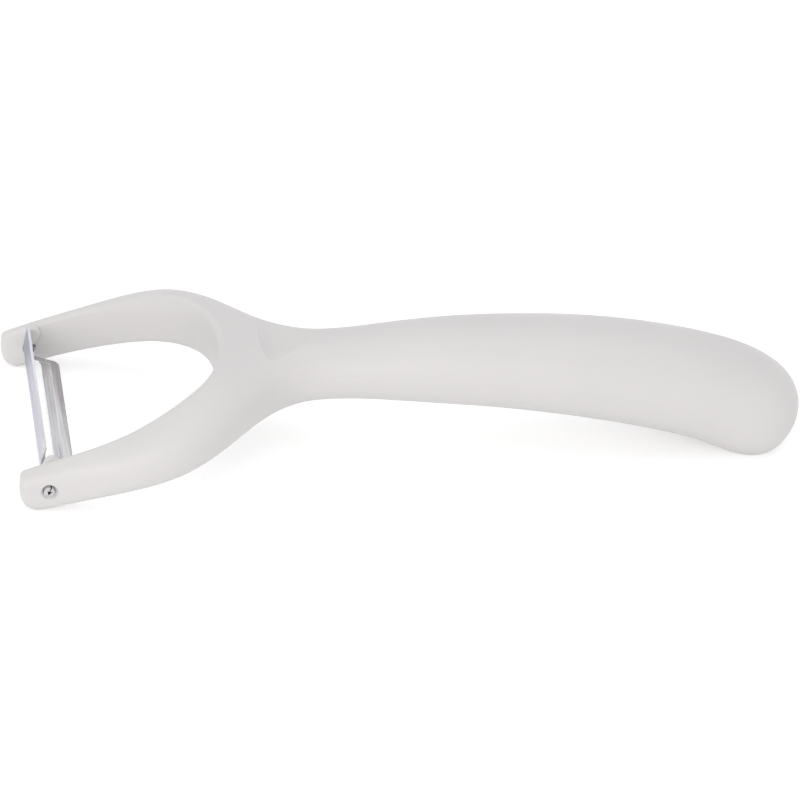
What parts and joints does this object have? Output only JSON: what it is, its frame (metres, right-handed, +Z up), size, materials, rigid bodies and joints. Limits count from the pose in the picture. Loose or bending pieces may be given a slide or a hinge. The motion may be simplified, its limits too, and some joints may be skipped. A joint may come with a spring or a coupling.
{
  "type": "vegetable peeler",
  "caption": "Y-shaped vegetable peeler: a moulded fork and arched handle with a swivelling slotted blade held between the fork's arms.",
  "frame": {"origin": "on the table, at the middle of the peeler's bounding box seen from above; the peeler rests on its two fork tips and its butt", "axes": "+X from the fork tips to the butt of the handle, +Y across the fork along the blade's pivot axis, +Z up"},
  "size_m": [0.1802, 0.0714, 0.0296],
  "materials": {
    "white_plastic": "satin moulded plastic, warm white",
    "blade_steel": "polished stamped stainless steel"
  },
  "bodies": {
    "fork_handle": {"fork_handle": "white_plastic"},
    "blade": {"blade": "blade_steel"}
  },
  "joints": [
    {"name": "blade_swivel", "type": "hinge", "parent": "fork_handle", "child": "blade", "pos_m": [-0.0837, 0, 0.0054], "axis": [0, 1, 0], "range_deg": [-42, 6]}
  ]
}
